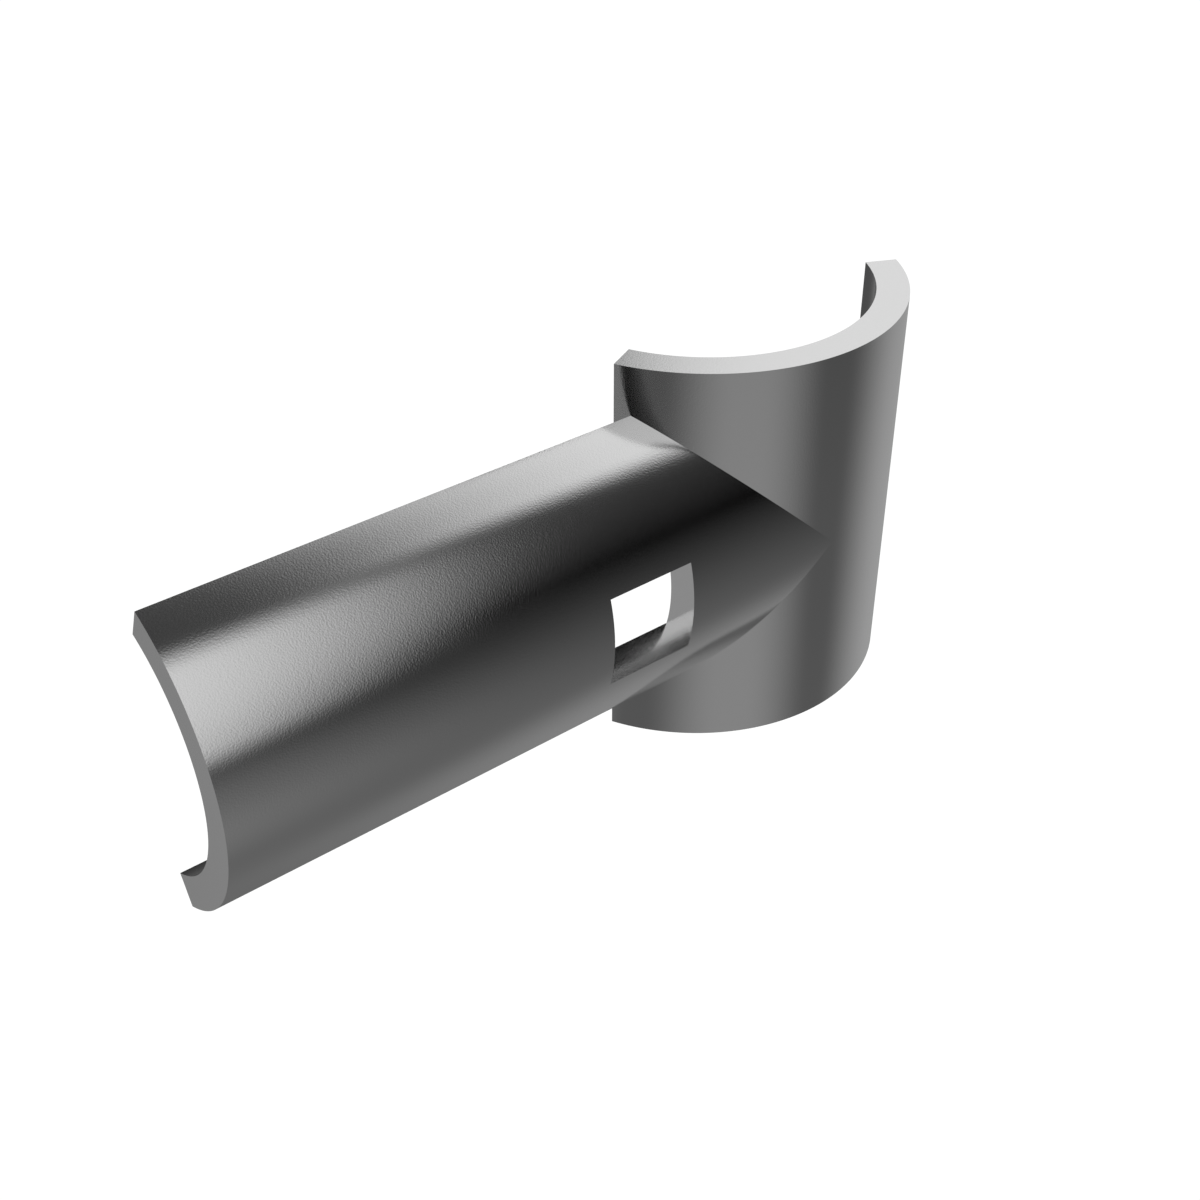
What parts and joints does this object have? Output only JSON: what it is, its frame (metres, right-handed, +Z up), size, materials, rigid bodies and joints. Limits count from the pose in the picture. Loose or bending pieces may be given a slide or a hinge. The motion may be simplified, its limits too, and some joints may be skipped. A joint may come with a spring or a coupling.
{
  "type": "handrail tube clamp",
  "caption": "One-piece half-shell tee that clamps a rail tube to an upright post tube, with a square fastener slot beside the joint.",
  "frame": {"origin": "on the rail tube's axis, abreast of the post tube's axis, which is parallel to Z and 3.85 mm behind it at x = 0, y = +3.85 mm", "axes": "+Z up along the post, the rail shell leaves along -X, and both shells bulge towards -Y with their open backs to +Y"},
  "size_m": [0.1046, 0.016, 0.0508],
  "materials": {
    "satin_cast_steel": "satin, fine blasted grain"
  },
  "bodies": {
    "root": {"clamp_shell": "satin_cast_steel"}
  },
  "joints": []
}
